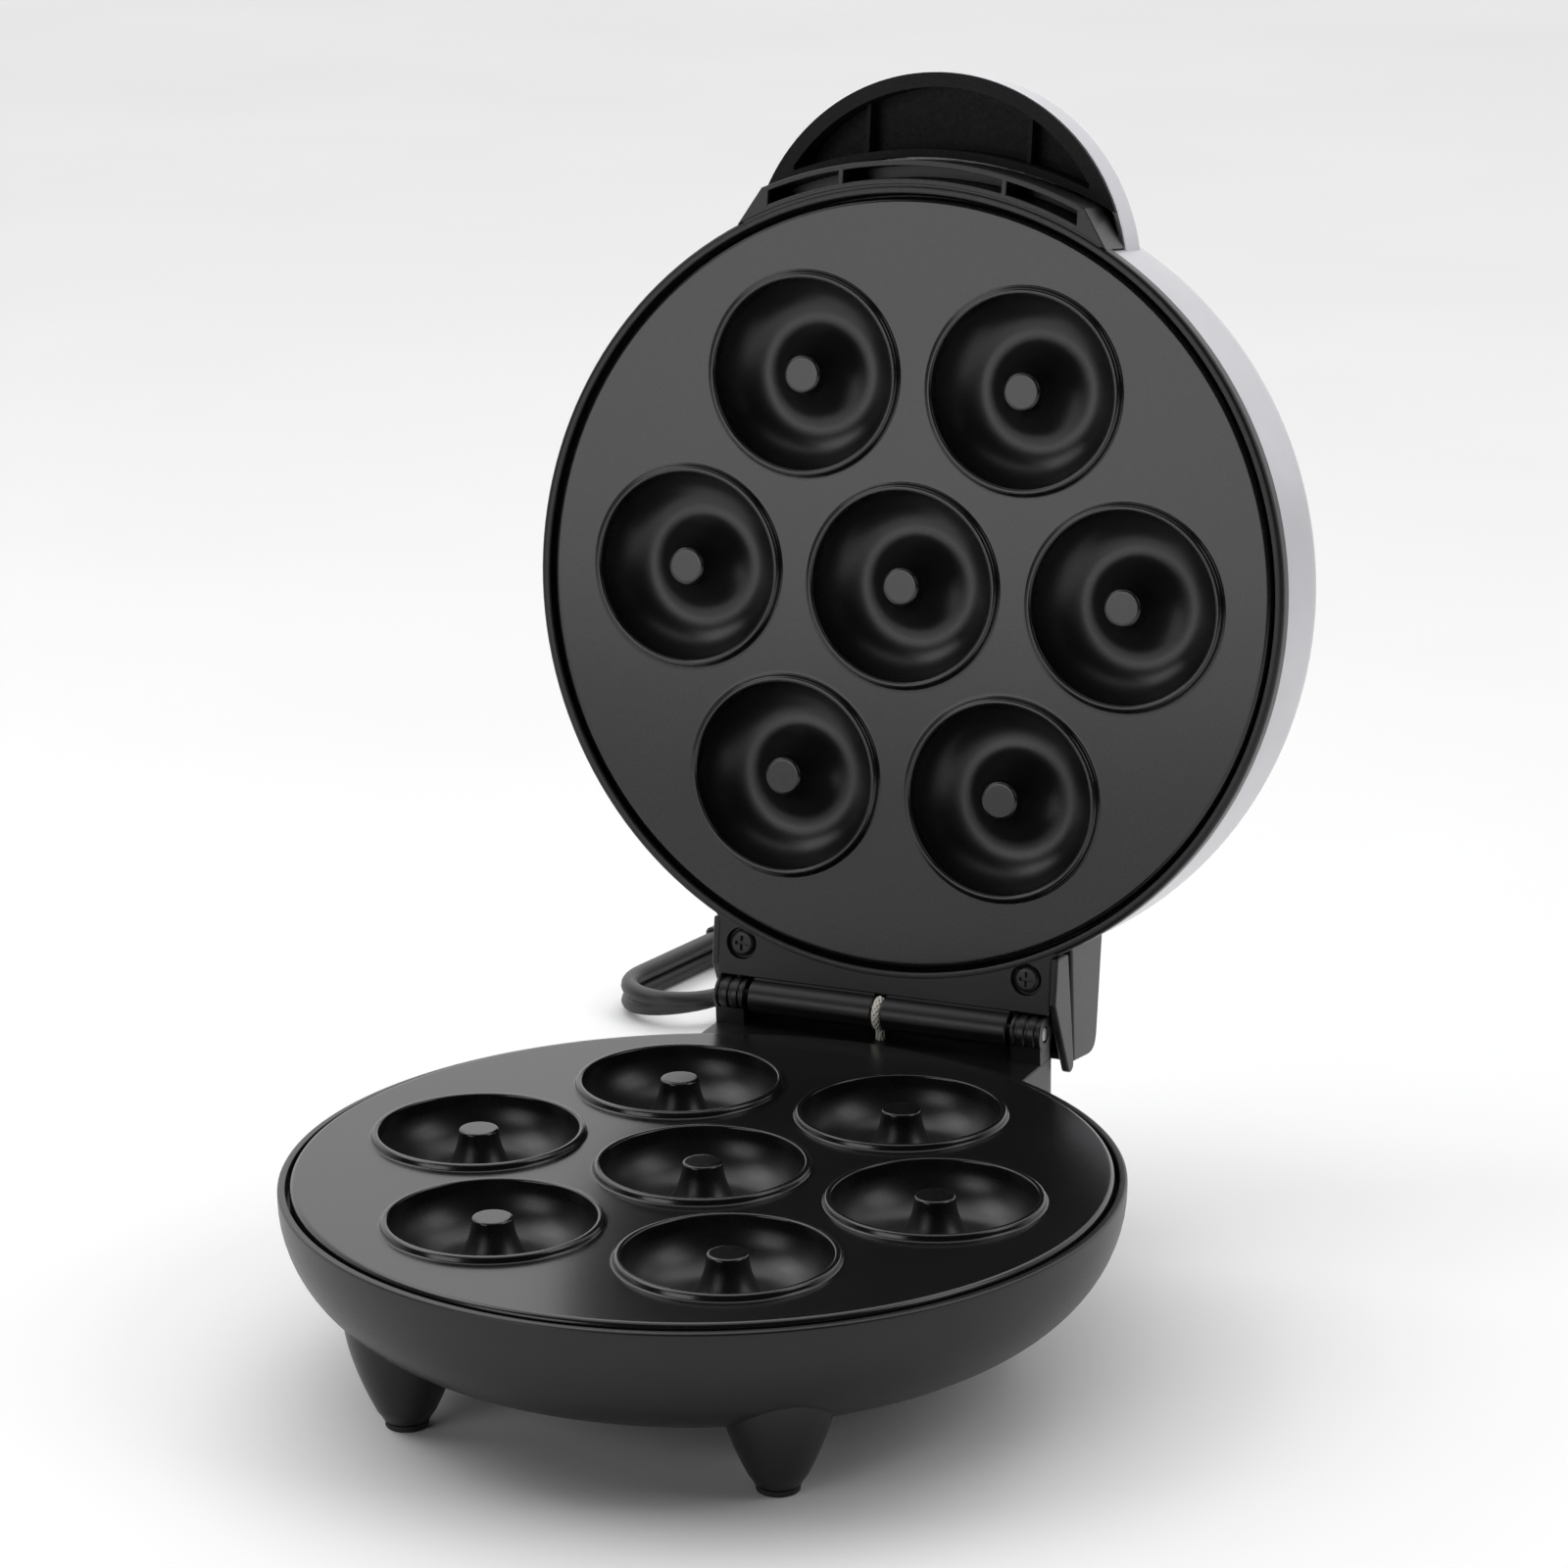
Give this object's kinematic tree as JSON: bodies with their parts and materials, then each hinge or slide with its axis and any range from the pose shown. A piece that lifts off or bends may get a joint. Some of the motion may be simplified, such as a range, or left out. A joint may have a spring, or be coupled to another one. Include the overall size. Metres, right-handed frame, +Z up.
{
  "type": "donut maker",
  "caption": "Round electric donut maker on feet, standing open: ring moulds in both cooking plates, hinged silver lid with a scoop handle, and a mains cord.",
  "frame": {"origin": "on the surface it stands on, at the middle of the open appliance's bounding box without its cord", "axes": "+Z up, +X to the user's right, -Y towards the user; the hinge runs along X"},
  "size_m": [0.2537, 0.473, 0.3141],
  "materials": {
    "nonstick_coating": "die-cast aluminium with a smooth black non-stick coating, semi-gloss",
    "black_housing": "black moulded plastic, satin with a very fine texture",
    "silver_cover": "silver metallic paint, satin, with faint fine streaks",
    "zinc_steel": "zinc-plated steel",
    "blackened_steel": "screws in black oxide",
    "heater_sheath": "dull steel heater sheath",
    "rubber_pad": "black rubber, matte",
    "strain_relief_rubber": "soft black moulding",
    "reflector_sheet": "bright sheet",
    "bakelite": "dark brown phenolic moulding",
    "fuse_case": "small metal case",
    "glass_braid": "varnished glass-fibre braid",
    "red_lens": "clear red lens",
    "green_lens": "clear green lens",
    "cord_jacket": "black flexible PVC",
    "tie_wrap": "black coated wire tie",
    "plug_blades": "bare brass"
  },
  "bodies": {
    "base": {"base_housing": "black_housing", "bottom_cover": "black_housing", "bottom_cover_screw_1": "zinc_steel", "bottom_cover_screw_2": "zinc_steel", "bottom_cover_screw_3": "zinc_steel", "bottom_cover_screw_4": "zinc_steel", "cord_hank": "cord_jacket", "cord_lead": "cord_jacket", "cord_tail": "cord_jacket", "cord_tie": "tie_wrap", "front_leg_left": "black_housing", "front_leg_right": "black_housing", "front_pad_left": "rubber_pad", "front_pad_right": "rubber_pad", "hinge_knuckle_left": "black_housing", "hinge_knuckle_right": "black_housing", "hinge_pedestal": "black_housing", "hinge_pin": "zinc_steel", "lower_heating_element": "heater_sheath", "lower_plate": "nonstick_coating", "lower_plate_screw_1": "zinc_steel", "lower_plate_screw_2": "zinc_steel", "lower_plate_screw_3": "zinc_steel", "lower_reflector": "reflector_sheet", "plug_blade_left": "plug_blades", "plug_blade_right": "plug_blades", "plug_body": "cord_jacket", "rear_foot_left": "black_housing", "rear_foot_right": "black_housing", "rear_pad_left": "rubber_pad", "rear_pad_right": "rubber_pad", "strain_relief": "strain_relief_rubber", "terminal_block": "bakelite", "thermostat": "bakelite", "wire_sleeve": "glass_braid"},
    "lid": {"handle": "black_housing", "hinge_screw_left": "blackened_steel", "hinge_screw_right": "blackened_steel", "lid_cover": "silver_cover", "lid_frame": "black_housing", "power_light": "red_lens", "ready_light": "green_lens", "rear_cover": "black_housing", "thermal_fuse": "fuse_case", "upper_heating_element": "heater_sheath", "upper_plate": "nonstick_coating", "upper_plate_screw_1": "zinc_steel", "upper_plate_screw_2": "zinc_steel", "upper_plate_screw_3": "zinc_steel", "upper_reflector": "reflector_sheet"}
  },
  "joints": [
    {"name": "lid_hinge", "type": "hinge", "parent": "base", "child": "lid", "pos_m": [0, 0.08, 0.0572], "axis": [1, 0, 0], "range_deg": [0, 97.9]}
  ]
}
